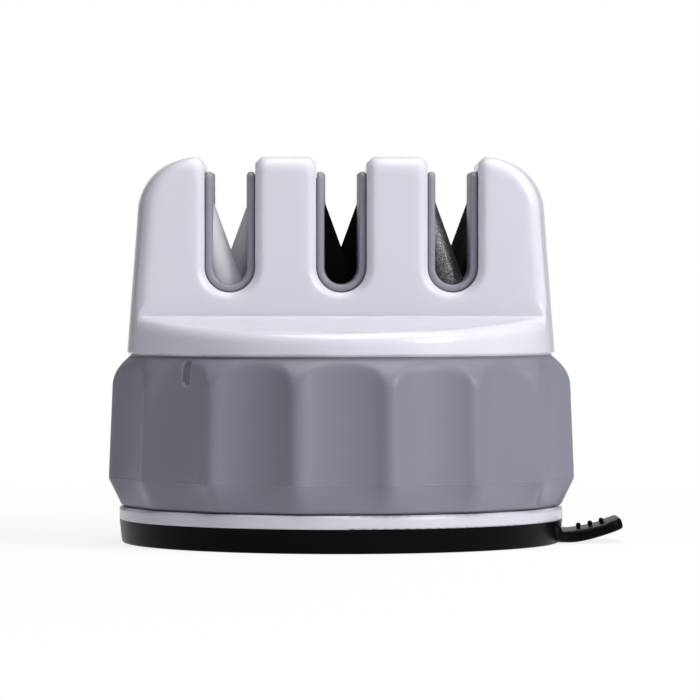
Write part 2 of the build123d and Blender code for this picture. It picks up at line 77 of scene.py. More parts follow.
# Points and faces of a grid (rows, columns, xyz) in millimetres; columns run round a closed section.
# Rows close on themselves, or end in a fan on the mean point of the first and the last row.
def skinOfGrid(grid, rowsClose):
    rows, columns = grid.shape[:2]
    points = grid.reshape(-1, 3)
    row = np.arange(rows if rowsClose else rows - 1)[:, None]
    column = np.arange(columns)[None, :]
    after = (column + 1) % columns
    below = row * columns
    above = (row + 1) % rows * columns
    quads = np.stack([below + column, below + after, above + after, above + column], -1).reshape(-1, 4)
    if rowsClose:
        return points, [quads]
    points = np.vstack([points, grid[0].mean(0), grid[-1].mean(0)])
    first, last = rows * columns, rows * columns + 1
    ring = np.arange(columns)
    nextOne = (ring + 1) % columns
    base = (rows - 1) * columns
    lowFan = np.stack([nextOne, ring, np.full(columns, first)], -1)
    highFan = np.stack([base + ring, base + nextOne, np.full(columns, last)], -1)
    return points, [quads, lowFan, highFan]


# one mesh from one or more closed grids
def pieceFromGrids(name, grids, rowsClose, crease=35):
    points, faces, count = [], [], 0
    for grid in grids:
        skinPoints, skinFaces = skinOfGrid(grid, rowsClose)
        for group in skinFaces:
            faces += (group + count).tolist()
        points.append(skinPoints)
        count += len(skinPoints)
    mesh = bpy.data.meshes.new(name)
    mesh.from_pydata((np.vstack(points) * mm).tolist(), [], faces)
    mesh.update()
    mesh.shade_smooth()
    mesh.set_sharp_from_angle(angle=math.radians(crease))
    piece = bpy.data.objects.new(name, mesh)
    bpy.context.scene.collection.objects.link(piece)
    return piece


def wear(piece, material):
    piece.data.materials.clear()
    piece.data.materials.append(material)


# shader groups

def newGroup(name, inputs, outputs):
    tree = bpy.data.node_groups.new(name, "ShaderNodeTree")
    for label, kind, value in inputs:
        socket = tree.interface.new_socket(name=label, in_out="INPUT", socket_type="NodeSocket" + kind)
        socket.default_value = value
    for label, kind in outputs:
        tree.interface.new_socket(name=label, in_out="OUTPUT", socket_type="NodeSocket" + kind)
    return tree, tree.nodes.new("NodeGroupInput"), tree.nodes.new("NodeGroupOutput")


def addNode(tree, kind, settings=(), values=()):
    node = tree.nodes.new("ShaderNode" + kind)
    for key, value in dict(settings).items():
        setattr(node, key, value)
    for key, value in dict(values).items():
        node.inputs[key].default_value = value
    return node


def mathNode(tree, operation, first, second):
    node = addNode(tree, "Math", {"operation": operation})
    for slot, value in enumerate((first, second)):
        if isinstance(value, (int, float)):
            node.inputs[slot].default_value = value
        else:
            tree.links.new(value, node.inputs[slot])
    return node.outputs[0]


def noiseOn(tree, coordinate, scale, detail):
    node = addNode(tree, "TexNoise", values={"Detail": detail})
    tree.links.new(coordinate, node.inputs["Vector"])
    if isinstance(scale, (int, float)):
        node.inputs["Scale"].default_value = scale
    else:
        tree.links.new(scale, node.inputs["Scale"])
    return node.outputs["Fac"]


def mixColour(tree, factor, first, second):
    node = addNode(tree, "Mix", {"data_type": "RGBA"})
    # sockets 0, 6 and 7 are the factor and the two colours
    for slot, value in zip((0, 6, 7), (factor, first, second)):
        if isinstance(value, (int, float, tuple)):
            node.inputs[slot].default_value = value
        else:
            tree.links.new(value, node.inputs[slot])
    return node.outputs[2]


skinLook = {"slowScale": 70.0, "slowDetail": 3.0, "fineDetail": 2.0, "speckShare": 0.35}


# moulded skin: slow tone drift, patchy gloss and a fine grain
def buildMouldedSkin(look):
    tree, enter, leave = newGroup(
        "mouldedSkin",
        [
            ("Tone", "Color", (0.5, 0.5, 0.5, 1)),
            ("Drift", "Float", 0.04),
            ("Roughness", "Float", 0.3),
            ("Patchiness", "Float", 0.05),
            ("Grain Scale", "Float", 4000.0),
            ("Grain Depth", "Float", 0.2),
        ],
        [("Color", "Color"), ("Roughness", "Float"), ("Height", "Float")],
    )
    spot = addNode(tree, "TexCoord").outputs["Object"]
    slow = noiseOn(tree, spot, look["slowScale"], look["slowDetail"])
    fine = noiseOn(tree, spot, enter.outputs["Grain Scale"], look["fineDetail"])
    swing = mathNode(tree, "SUBTRACT", slow, 0.5)
    speck = mathNode(tree, "SUBTRACT", fine, 0.5)
    both = mathNode(tree, "ADD", swing, mathNode(tree, "MULTIPLY", speck, look["speckShare"]))
    level = mathNode(tree, "ADD", mathNode(tree, "MULTIPLY", both, enter.outputs["Drift"]), 1.0)
    tinted = addNode(tree, "VectorMath", {"operation": "SCALE"})
    tree.links.new(enter.outputs["Tone"], tinted.inputs[0])
    tree.links.new(level, tinted.inputs["Scale"])
    tree.links.new(tinted.outputs[0], leave.inputs["Color"])
    patchy = mathNode(tree, "MULTIPLY", both, enter.outputs["Patchiness"])
    tree.links.new(mathNode(tree, "ADD", patchy, enter.outputs["Roughness"]), leave.inputs["Roughness"])
    tree.links.new(mathNode(tree, "MULTIPLY", fine, enter.outputs["Grain Depth"]), leave.inputs["Height"])
    return tree


dustLook = {
    "facingFrom": 0.35, "patchScale": 180.0, "patchDetail": 5.0, "fleckScale": 3500.0, "fleckDetail": 1.0,
    "gain": 4.0, "dulling": 0.4,
}


# lint and dust that settle on faces looking up, in uneven patches
def buildSettledDust(look):
    tree, enter, leave = newGroup(
        "settledDust",
        [
            ("Color", "Color", (0.5, 0.5, 0.5, 1)),
            ("Roughness", "Float", 0.3),
            ("Dust", "Color", (0.55, 0.53, 0.5, 1)),
            ("Amount", "Float", 0.1),
        ],
        [("Color", "Color"), ("Roughness", "Float")],
    )
    spot = addNode(tree, "TexCoord").outputs["Object"]
    axes = addNode(tree, "SeparateXYZ")
    tree.links.new(addNode(tree, "NewGeometry").outputs["Normal"], axes.inputs[0])
    facing = addNode(tree, "MapRange", values={"From Min": look["facingFrom"], "From Max": 1.0})
    tree.links.new(axes.outputs["Z"], facing.inputs["Value"])
    patches = noiseOn(tree, spot, look["patchScale"], look["patchDetail"])
    fleck = noiseOn(tree, spot, look["fleckScale"], look["fleckDetail"])
    grit = mathNode(tree, "MULTIPLY", patches, fleck)
    mask = mathNode(tree, "MULTIPLY", facing.outputs["Result"], grit)
    amount = mathNode(tree, "MULTIPLY", enter.outputs["Amount"], look["gain"])
    mask = mathNode(tree, "MULTIPLY", mask, amount)
    dusty = mixColour(tree, mask, enter.outputs["Color"], enter.outputs["Dust"])
    tree.links.new(dusty, leave.inputs["Color"])
    dulling = mathNode(tree, "MULTIPLY", mask, look["dulling"])
    dulled = mathNode(tree, "ADD", enter.outputs["Roughness"], dulling)
    tree.links.new(dulled, leave.inputs["Roughness"])
    return tree


gritLook = {"brightPower": 3.0, "dullest": 0.62, "rise": 0.6}


# hard grit held in a plated layer: random grain tone, glint and height
def buildPlatedGrit(look):
    tree, enter, leave = newGroup(
        "platedGrit",
        [
            ("Bond", "Color", (0.1, 0.1, 0.1, 1)),
            ("Grain", "Color", (0.4, 0.4, 0.4, 1)),
            ("Grit Scale", "Float", 5000.0),
            ("Glint", "Float", 0.3),
        ],
        [("Color", "Color"), ("Roughness", "Float"), ("Height", "Float")],
    )
    spot = addNode(tree, "TexCoord").outputs["Object"]
    cells = addNode(tree, "TexVoronoi")
    tree.links.new(spot, cells.inputs["Vector"])
    tree.links.new(enter.outputs["Grit Scale"], cells.inputs["Scale"])
    pick = addNode(tree, "SeparateColor")
    tree.links.new(cells.outputs["Color"], pick.inputs[0])
    bright = mathNode(tree, "POWER", pick.outputs[0], look["brightPower"])
    speckled = mixColour(tree, bright, enter.outputs["Bond"], enter.outputs["Grain"])
    tree.links.new(speckled, leave.inputs["Color"])
    shine = mathNode(tree, "MULTIPLY", pick.outputs[1], enter.outputs["Glint"])
    tree.links.new(mathNode(tree, "SUBTRACT", look["dullest"], shine), leave.inputs["Roughness"])
    tree.links.new(mathNode(tree, "MULTIPLY", pick.outputs[2], look["rise"]), leave.inputs["Height"])
    return tree


mouldedSkin = buildMouldedSkin(skinLook)
settledDust = buildSettledDust(dustLook)
platedGrit = buildPlatedGrit(gritLook)
grainHeight = 0.05 * mm  # full height of the grain that a bump of strength 1 shows
bevelSamples = 6


# a material with its Principled shader; constant values go on the shader's own sockets
def newMaterial(name, **fixed):
    material = bpy.data.materials.new(name)
    material.use_nodes = True
    tree = material.node_tree
    shader = tree.nodes["Principled BSDF"]
    for key, value in fixed.items():
        shader.inputs[key].default_value = value
    return material, tree, shader


def placeGroup(tree, group, values):
    node = tree.nodes.new("ShaderNodeGroup")
    node.node_tree = group
    for key, value in values.items():
        node.inputs[key].default_value = value
    return node


# share that grows from 0 to 1 between two heights of the part
def heightShare(tree, low, high):
    axes = addNode(tree, "SeparateXYZ")
    tree.links.new(addNode(tree, "TexCoord").outputs["Object"], axes.inputs[0])
    share = addNode(tree, "MapRange", values={"From Min": low, "From Max": high})
    tree.links.new(axes.outputs["Z"], share.inputs["Value"])
    return share.outputs["Result"]


def mixNormal(tree, share, first, second):
    node = addNode(tree, "Mix", {"data_type": "VECTOR"})
    # sockets 0, 4 and 5 are the factor and the two vectors
    for slot, socket in zip((0, 4, 5), (share, first, second)):
        tree.links.new(socket, node.inputs[slot])
    return node.outputs[1]


# Edges shade as if rounded by softEdge. With softFrom they do so above that height only, at the top by
# topEdge, and with crease the narrow fillet above that height shades like the upright face that it ends.
def softNormal(tree, softEdge, softFrom=None, crease=None, tilt=0.08, topEdge=0, topFrom=None):
    rounded = addNode(tree, "Bevel", {"samples": bevelSamples}, {"Radius": softEdge}).outputs["Normal"]
    if softFrom is None:
        return rounded
    wider = addNode(tree, "Bevel", {"samples": bevelSamples}, {"Radius": topEdge}).outputs["Normal"]
    rounded = mixNormal(tree, heightShare(tree, *topFrom), rounded, wider)
    plain = addNode(tree, "NewGeometry").outputs["Normal"]
    parts = addNode(tree, "SeparateXYZ")
    tree.links.new(plain, parts.inputs[0])
    upright = addNode(tree, "CombineXYZ")
    tree.links.new(parts.outputs["X"], upright.inputs["X"])
    tree.links.new(parts.outputs["Y"], upright.inputs["Y"])
    tree.links.new(mathNode(tree, "MINIMUM", parts.outputs["Z"], tilt), upright.inputs["Z"])
    unit = addNode(tree, "VectorMath", {"operation": "NORMALIZE"})
    tree.links.new(upright.outputs[0], unit.inputs[0])
    calm = mixNormal(tree, heightShare(tree, *crease), plain, unit.outputs[0])
    return mixNormal(tree, heightShare(tree, *softFrom), calm, rounded)


# grain as a bump, on a softened normal where one is given
def bumpFrom(tree, shader, height, strength, normal=None):
    bump = addNode(tree, "Bump", values={"Strength": strength, "Distance": grainHeight})
    tree.links.new(height, bump.inputs["Height"])
    if normal:
        tree.links.new(normal, bump.inputs["Normal"])
    tree.links.new(bump.outputs["Normal"], shader.inputs["Normal"])


# every moulded finish: skin, then a little dust, then the grain as a bump
def mouldedMaterial(name, look):
    material, tree, shader = newMaterial(name, **look.get("fixed", {}))
    skin = placeGroup(tree, mouldedSkin, look["skin"])
    dust = placeGroup(tree, settledDust, look["dust"])
    tree.links.new(skin.outputs["Color"], dust.inputs["Color"])
    tree.links.new(skin.outputs["Roughness"], dust.inputs["Roughness"])
    tree.links.new(dust.outputs["Color"], shader.inputs["Base Color"])
    tree.links.new(dust.outputs["Roughness"], shader.inputs["Roughness"])
    normal = softNormal(tree, **look["soft"]) if "soft" in look else None
    bumpFrom(tree, shader, skin.outputs["Height"], look["bump"], normal)
    return material


glossWhite = mouldedMaterial("glossWhite", {
    "skin": {"Tone": (0.685, 0.69, 0.75, 1), "Drift": 0.02, "Roughness": 0.16, "Patchiness": 0.05,
             "Grain Scale": 1600.0, "Grain Depth": 0.2},
    "dust": {"Amount": 0.02},
    "bump": 0.06,
    "soft": {"softEdge": 1.4 * mm, "softFrom": (36.8 * mm, 40.2 * mm), "crease": (36.06 * mm, 36.26 * mm),
             "topEdge": 2.8 * mm, "topFrom": (57.6 * mm, 59.2 * mm)},
    "fixed": {"IOR": 1.5, "Subsurface Weight": 0.65, "Subsurface Radius": (1.0, 1.0, 1.0),
              "Subsurface Scale": 2.0 * mm},
})
discWhite = mouldedMaterial("discWhite", {
    "skin": {"Tone": (0.605, 0.61, 0.668, 1), "Drift": 0.02, "Roughness": 0.24, "Patchiness": 0.06,
             "Grain Scale": 1600.0, "Grain Depth": 0.2},
    "dust": {"Amount": 0.04},
    "bump": 0.06,
    "soft": {"softEdge": 0.4 * mm},
    "fixed": {"IOR": 1.5},
})
gripGrey = mouldedMaterial("gripGrey", {
    "skin": {"Tone": (0.206, 0.208, 0.255, 1), "Drift": 0.06, "Roughness": 0.38, "Patchiness": 0.08,
             "Grain Scale": 5200.0, "Grain Depth": 0.5},
    "dust": {"Amount": 0.03},
    "bump": 0.3,
    "fixed": {"IOR": 1.48, "Specular IOR Level": 0.28},
})
# painted shade for the index mark's floor and painted highlight for its rim, as tones and shares
indexMark = {
    "markPaintedShade": {"tone": (0.02, 0.02, 0.026, 1), "share": 0.16},
    "markPaintedHighlight": {"tone": (0.7, 0.7, 0.78, 1), "share": 0.13},
}


# the ring's index mark: painted shade darkens the floor of the sunk capsule, and a painted highlight makes
# the rim round it paler
def shadeIndexMark(material, looks):
    tree = material.node_tree
    socket = tree.nodes["Principled BSDF"].inputs["Base Color"]
    colour = socket.links[0].from_socket
    for label, look in looks.items():
        mask = addNode(tree, "Attribute", {"attribute_name": label}).outputs["Fac"]
        colour = mixColour(tree, mathNode(tree, "MULTIPLY", mask, look["share"]), colour, look["tone"])
    tree.links.new(colour, socket)


shadeIndexMark(gripGrey, indexMark)
linerGrey = mouldedMaterial("linerGrey", {
    "skin": {"Tone": (0.262, 0.265, 0.308, 1), "Drift": 0.05, "Roughness": 0.36, "Patchiness": 0.08,
             "Grain Scale": 4200.0, "Grain Depth": 0.4},
    "dust": {"Amount": 0.03},
    "bump": 0.2,
    "soft": {"softEdge": 0.5 * mm},
    "fixed": {"IOR": 1.48},
})
padRubber = mouldedMaterial("padRubber", {
    "skin": {"Tone": (0.0025, 0.0025, 0.0036, 1), "Drift": 0.2, "Roughness": 0.30, "Patchiness": 0.1,
             "Grain Scale": 2600.0, "Grain Depth": 0.5},
    "dust": {"Dust": (0.04, 0.04, 0.04, 1), "Amount": 0.04},
    "bump": 0.15,
    "fixed": {"IOR": 1.5, "Specular IOR Level": 0.04},
})
ceramicMatt = mouldedMaterial("ceramicMatt", {
    "skin": {"Tone": (0.66, 0.66, 0.70, 1), "Drift": 0.05, "Roughness": 0.62, "Patchiness": 0.1,
             "Grain Scale": 7000.0, "Grain Depth": 0.8},
    "dust": {"Amount": 0.02},
    "bump": 0.3,
    "fixed": {"IOR": 1.6},
})
innerNatural = mouldedMaterial("innerNatural", {
    "skin": {"Tone": (0.62, 0.61, 0.57, 1), "Drift": 0.06, "Roughness": 0.42, "Patchiness": 0.1,
             "Grain Scale": 3000.0, "Grain Depth": 0.4},
    "dust": {"Amount": 0.03},
    "bump": 0.2,
    "fixed": {"IOR": 1.5},
})


def gritMaterial(name, grit, bump, fixed):
    material, tree, shader = newMaterial(name, **fixed)
    coat = placeGroup(tree, platedGrit, grit)
    tree.links.new(coat.outputs["Color"], shader.inputs["Base Color"])
    tree.links.new(coat.outputs["Roughness"], shader.inputs["Roughness"])
    bumpFrom(tree, shader, coat.outputs["Height"], bump)
    return material


diamondGrit = gritMaterial("diamondGrit", {
    "Bond": (0.074, 0.073, 0.073, 1), "Grain": (0.46, 0.45, 0.45, 1), "Grit Scale": 11000.0, "Glint": 0.28,
}, 0.4, {"Metallic": 0.9, "Specular IOR Level": 0.3})
# the same diamond grit made darker for the rear rod: painted shade for the shadow that rod lies in
shadedDiamondGrit = gritMaterial("shadedDiamondGrit", {
    "Bond": (0.012, 0.011, 0.011, 1), "Grain": (0.05, 0.047, 0.046, 1), "Grit Scale": 11000.0, "Glint": 0.2,
}, 0.4, {"Metallic": 0.3, "Specular IOR Level": 0.2})
carbideBlack = gritMaterial("carbideBlack", {
    "Bond": (0.003, 0.003, 0.0035, 1), "Grain": (0.01, 0.01, 0.011, 1), "Grit Scale": 9000.0, "Glint": 0.2,
}, 0.1, {"Specular IOR Level": 0.03})
zincSteel = gritMaterial("zincSteel", {
    "Bond": (0.56, 0.57, 0.60, 1), "Grain": (0.68, 0.68, 0.68, 1), "Grit Scale": 1500.0, "Glint": 0.35,
}, 0.05, {"Metallic": 1.0})

finishes = {
    "top_housing": glossWhite, "base_plate": discWhite,
    "slot_liner_fine": linerGrey, "slot_liner_medium": linerGrey, "slot_liner_coarse": linerGrey,
    "ceramic_rod_front": ceramicMatt, "ceramic_rod_rear": ceramicMatt,
    "carbide_plate_front": carbideBlack, "carbide_plate_rear": carbideBlack,
    "housing_floor": innerNatural, "lift_yoke": innerNatural, "pad_core": innerNatural,
    "tube_screws": zincSteel, "yoke_screw": zincSteel, "yoke_washer": zincSteel,
}
for node, material in finishes.items():
    wear(nodes[node], material)
print("materials made and worn by", len(finishes), "CAD nodes")

ringLow, ringHigh = boxOf("lock_ring")
discLow, discHigh = boxOf("base_plate")
padHigh = boxOf("suction_pad")[1]
tabLow, tabHigh = boxOf("release_tab")

gripRing = {
    "flutes": 16, "ridgePhase": 11.7, "ridgeRadius": discHigh[0] + 2.15, "fluteDepth": 2.1,
    "ridgeShare": 0.20, "filletShare": 0.46, "floorSlope": 0.5, "slopeSamples": 500,
    "skirtRadius": discHigh[0], "skirtFlute": 0.45, "crease": 4.25, "draft": 2.4, "creaseSoft": 0.3,
    "partingWidth": 0.10, "partingProud": 0.05,
    "crownRadius": discHigh[0] - 1.55, "crownLean": 53.5, "crownBend": 0.15, "crownReach": 2.83,
    "crownRound": 0.4, "crownSoft": 0.4, "crownBlend": 1.3, "footRound": 0.3,
    "topLip": 0.05, "lipGap": 0.04, "footLip": 1.0, "lipRise": 0.2,
    "bore": discHigh[0] - 3.4, "boreRound": 0.3, "boreRow": 6.0, "webLow": 9.6, "webHigh": 11.6,
    "sleeveBore": 14.0, "sleeveRadius": 17.5, "sleeveTop": 20.0,
    "rampLow": 14.0, "rampLift": 3.0, "lockTurn": 75.0, "stopTurn": 9.46,
    "markFlute": -2, "markTurn": 0.9, "markDrop": 2.3, "markLength": 3.9, "markWidth": 1.7,
    "markDepth": 0.5, "markEdge": 0.3, "markPaintedHighlight": 0.16, "markSpan": 0.9,
    "perFlute": 44, "crowding": 1.4, "markSamples": 50, "roundRows": 5, "crownRows": 8, "rowGap": 0.02,
    "creaseBand": 0.4, "creaseClear": 0.5, "slopeClear": 6.0, "slopeStart": 5.8, "slopeEnd": 0.75,
    "skirtRows": 8, "creaseRows": 25, "wallRows": 9, "slopeRows": 30,
}


# Radius at an angle of round ridges with flutes between them. The slope away from a ridge grows over the
# ridge, eases over the fillet at its foot and runs out to the middle of the flute. Its running sum is the
# drop in radius.
def flutedRadius(angle, ridge, depth, look):
    halfStep = math.pi / look["flutes"]
    phase = math.radians(look["ridgePhase"] - 90)
    off = np.abs((angle - phase + halfStep) % (2 * halfStep) - halfStep) / halfStep
    share = np.linspace(0, 1, look["slopeSamples"])
    slope = np.interp(share, (0, look["ridgeShare"], look["filletShare"], 1), (0, 1, look["floorSlope"], 0))
    drop = np.concatenate([[0], np.cumsum(slope[1:] + slope[:-1])])
    return ridge - depth * np.interp(off, share, drop / drop[-1])


# The outer wall is the smaller of three: the skirt widening up to the crease, the drafted fluted wall, and
# the crown, a cone that steepens as it falls. The rows go up the outside, over the top with a low lip that
# closes the running gap, down the bore, and round the web and the cam sleeve to a second lip underneath.
def makeGripRing(look):
    step = 2 * math.pi / look["flutes"]
    phase = math.radians(look["ridgePhase"] - 90)
    spread = np.linspace(-1, 1, look["perFlute"], endpoint=False)
    local = 0.5 * step * np.sign(spread) * np.abs(spread)**look["crowding"]
    angle = (np.arange(look["flutes"])[:, None] * step + local[None, :] + phase).ravel()
    markAngle = phase + step * (look["markFlute"] - 0.5) + math.radians(look["markTurn"])
    markReach = look["markSpan"] * look["markWidth"] / look["skirtRadius"]
    extra = markAngle + np.linspace(-markReach, markReach, look["markSamples"])
    angle = np.unique(np.concatenate([angle, extra]) % (2 * math.pi))

    bottom, top = ringLow[2], ringHigh[2]
    crease = bottom + look["crease"]
    slope = math.tan(math.radians(look["crownLean"]))
    ridgeTop = look["ridgeRadius"] - (top - crease) * math.tan(math.radians(look["draft"]))
    skirt = flutedRadius(angle, look["skirtRadius"], look["skirtFlute"], look)
    widest = flutedRadius(angle, look["ridgeRadius"], look["fluteDepth"], look)
    narrow = flutedRadius(angle, ridgeTop, look["fluteDepth"], look)

    foot = look["footRound"]
    turnIn = np.linspace(0, 1, look["roundRows"]) * math.pi / 2
    footZ = bottom + foot * (1 - np.cos(turnIn))
    footInset = foot * (1 - np.sin(turnIn))
    # rows lie closer over the crease and on the crown's slope
    levels = np.unique(np.concatenate([
        np.linspace(bottom + foot, crease - look["creaseClear"], look["skirtRows"]),
        np.linspace(crease - look["creaseBand"], crease + look["creaseBand"], look["creaseRows"]),
        np.linspace(crease + look["creaseClear"], top - look["slopeClear"], look["wallRows"]),
        np.linspace(top - look["slopeStart"], top - look["slopeEnd"], look["slopeRows"]),
    ]))[1:]
    outerZ = np.concatenate([footZ, levels])
    inset = np.concatenate([footInset, np.zeros(len(levels))])
    fall = top - outerZ
    bent = np.minimum(fall, look["crownReach"])
    coneAt = look["crownRadius"] + slope * fall - look["crownBend"] * bent * (2 * fall - bent)
    # the crown's edge, a round between the cone and the flat top
    lean = math.radians(look["crownLean"])
    crownRound = look["crownRound"]
    reach = crownRound * math.tan((math.pi / 2 - lean) / 2)
    centreR = look["crownRadius"] - reach
    centreZ = top - crownRound
    sweep = np.linspace(lean, math.pi / 2, look["crownRows"])
    crownR = centreR + crownRound * np.cos(sweep)
    crownZ = centreZ + crownRound * np.sin(sweep)
    keep = outerZ < crownZ[0] - look["rowGap"]
    outerZ, inset, coneAt = outerZ[keep], inset[keep], coneAt[keep]
    lipR = centreR - look["topLip"]
    lipTop = boxOf("top_housing")[0][2] - look["lipGap"]
    flatR = np.array([lipR, lipR, look["bore"] + look["boreRound"]])
    limitR = np.concatenate([coneAt, crownR, flatR])
    limitZ = np.concatenate([outerZ, crownZ, [top, lipTop, lipTop]])
    inset = np.concatenate([inset, np.zeros(len(crownR) + len(flatR))])

    z = limitZ[:, None]
    low = skirt + (widest - skirt) * (z - bottom) / (crease - bottom)
    high = widest + (narrow - widest) * (z - crease) / (top - crease)
    radius = softMin(low, high, look["creaseSoft"])
    radius = radius + look["partingProud"] * np.exp(-(((z - crease) / look["partingWidth"])**2))
    inFlute = (look["ridgeRadius"] - widest) / look["fluteDepth"]
    blend = look["crownSoft"] + (look["crownBlend"] - look["crownSoft"]) * inFlute
    radius = softMin(radius, limitR[:, None] + 0 * radius, blend)
    onFlat = (np.arange(len(limitR)) >= len(coneAt) + len(crownR))[:, None]
    radius = np.where(onFlat, limitR[:, None], radius) - inset[:, None]

    # the index mark, a sunk capsule
    across = ((angle - markAngle + math.pi) % (2 * math.pi) - math.pi) * look["skirtRadius"]
    along = np.abs(z - (top - look["markDrop"])) - (look["markLength"] - look["markWidth"]) / 2
    outside = np.hypot(across[None, :], np.maximum(along, 0)) - look["markWidth"] / 2
    floorMask = smoothStep(0, look["markEdge"], 0.5 * look["markEdge"] - outside)
    radius = radius - look["markDepth"] * floorMask
    # mask of the painted highlight on the mark's rim; floorMask also carries the painted shade of its floor
    rimHighlightMask = np.exp(-(((outside - look["markPaintedHighlight"]) / look["markPaintedHighlight"])**2))

    # inside rows, each a circle but for the sleeve's top, which follows two ramps half a turn apart
    ramp = np.degrees(angle - math.pi / 2) % 180
    turned = np.where(ramp > 90, 180 - ramp, -ramp)
    onRamp = (turned > -look["stopTurn"]) & (turned < look["lockTurn"] + look["stopTurn"])
    rise = np.clip(turned / look["lockTurn"], 0, 1) * look["rampLift"]
    sleeveZ = np.where(onRamp, look["rampLow"] + rise, look["sleeveTop"])
    bore, webLow, webHigh = look["bore"], look["webLow"], look["webHigh"]
    sleeveBore, sleeveRadius = look["sleeveBore"], look["sleeveRadius"]
    rimR = bore + look["boreRound"] * (1 - np.sin(turnIn))
    rimZ = lipTop - look["boreRound"] * (1 - np.cos(turnIn))
    footLip = look["skirtRadius"] - look["footLip"]
    lipLow = bottom - look["lipRise"]
    inner = list(zip(rimR, rimZ))[1:]
    inner += [(bore, webHigh + look["boreRow"]), (bore, webHigh), (sleeveRadius, webHigh)]
    inner += [(sleeveRadius, None), (sleeveBore, None), (sleeveBore, webLow), (bore, webLow)]
    inner += [(bore, lipLow), (footLip, lipLow), (footLip, bottom)]
    innerR = np.array([r for r, level in inner])[:, None] + 0 * angle[None, :]
    innerZ = np.stack([sleeveZ if level is None else np.full(len(angle), level) for r, level in inner])

    allR = np.vstack([radius, innerR])
    allZ = np.vstack([z + 0 * radius, innerZ])
    grid = np.stack([allR * np.cos(angle), allR * np.sin(angle), allZ], -1)
    piece = pieceFromGrids("grip_ring", [grid], rowsClose=True)
    # masks that the ring's material uses for the mark's painted shade and painted highlight
    for label, mask in (("markPaintedShade", floorMask), ("markPaintedHighlight", rimHighlightMask)):
        values = np.vstack([mask, 0 * innerR])
        piece.data.attributes.new(label, "FLOAT", "POINT").data.foreach_set("value", values.ravel())
    return piece


ringPiece = makeGripRing(gripRing)
wear(ringPiece, gripGrey)
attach(ringPiece, "lock_ring")
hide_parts("lock_ring")
print("grip ring:", len(ringPiece.data.polygons), "faces")

suctionPad = {
    "footRadius": padHigh[1] - 0.35, "flare": 0.35, "footRound": 0.4, "thickness": 3.44,
    "lapRise": 0.24, "lapGap": 0.01, "discRound": 0.5,
    "lipInner": 31.8, "lipGroove": 0.35, "dishStart": 0.55, "dishRadius": 30.0, "dishRise": 0.35,
    "ribRadii": (22.5, 25.0, 27.5), "ribDepth": 0.18, "ribWidth": 0.5, "ribSharpness": 2,
    "coreRadius": 20.1, "coreSeat": 1.5, "tongueRadius": 30.0, "tongueWidth": 1.6, "tongueTop": 4.6,
    "pole": 0.3, "plainEnd": 21.5, "plainRows": 14, "fineStart": 21.7, "fineRows": 70, "edgeRows": 8,
    "around": 360,
}


# Turned profile: a shallow dish underneath with fine rings, a sealing lip, the flared wall, the edge that
# laps the disc, and the core's pocket.
def makeSuctionPad(look):
    foot, top = look["footRadius"], look["thickness"]
    under = np.concatenate([
        np.linspace(look["pole"], look["plainEnd"], look["plainRows"]),
        np.linspace(look["fineStart"], foot - look["footRound"], look["fineRows"]),
    ])
    dishStart = look["dishStart"] * look["dishRadius"]
    dish = look["dishRise"] * (1 - smoothStep(dishStart, look["dishRadius"], under))
    grooves = [(rib, look["ribDepth"]) for rib in look["ribRadii"]]
    grooves.append((look["lipInner"], look["lipGroove"]))
    for radius, depth in grooves:
        dish = dish + depth * np.exp(-(((under - radius) / look["ribWidth"])**2) * look["ribSharpness"])
    turn = np.linspace(0, 1, look["edgeRows"])[1:] * math.pi / 2
    footR = foot - look["footRound"] * (1 - np.sin(turn))
    footZ = look["footRound"] * (1 - np.cos(turn))
    lapTop = discLow[2] + look["lapRise"]
    wallZ = np.linspace(look["footRound"], lapTop, look["edgeRows"])[1:]
    wallR = foot + look["flare"] * wallZ / top
    # the top edge laps the round under the disc's rim
    lap = np.linspace(look["lapRise"], 0, look["edgeRows"])
    discRound = look["discRound"]
    edgeR = discHigh[0] - discRound + np.sqrt(discRound**2 - (discRound - lap)**2) + look["lapGap"]
    edgeZ = top + (lapTop - top) * lap / look["lapRise"]
    tongueOut = look["tongueRadius"] + look["tongueWidth"]
    inside = np.array([
        (tongueOut, top), (tongueOut, look["tongueTop"]), (look["tongueRadius"], look["tongueTop"]),
        (look["tongueRadius"], top), (look["coreRadius"], top), (look["coreRadius"], look["coreSeat"]),
        (look["pole"], look["coreSeat"]),
    ])
    profileR = np.concatenate([under, footR, wallR, edgeR, inside[:, 0]])
    profileZ = np.concatenate([dish, footZ, wallZ, edgeZ, inside[:, 1]])
    angle = np.linspace(0, 2 * math.pi, look["around"], endpoint=False)
    r = profileR[:, None]
    grid = np.stack([r * np.cos(angle), r * np.sin(angle), profileZ[:, None] + 0 * r * angle], -1)
    return pieceFromGrids("suction_foot", [grid], rowsClose=False, crease=50)


padPiece = makeSuctionPad(suctionPad)
wear(padPiece, padRubber)
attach(padPiece, "sharpener")
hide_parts("suction_pad")
print("suction pad:", len(padPiece.data.polygons), "faces")

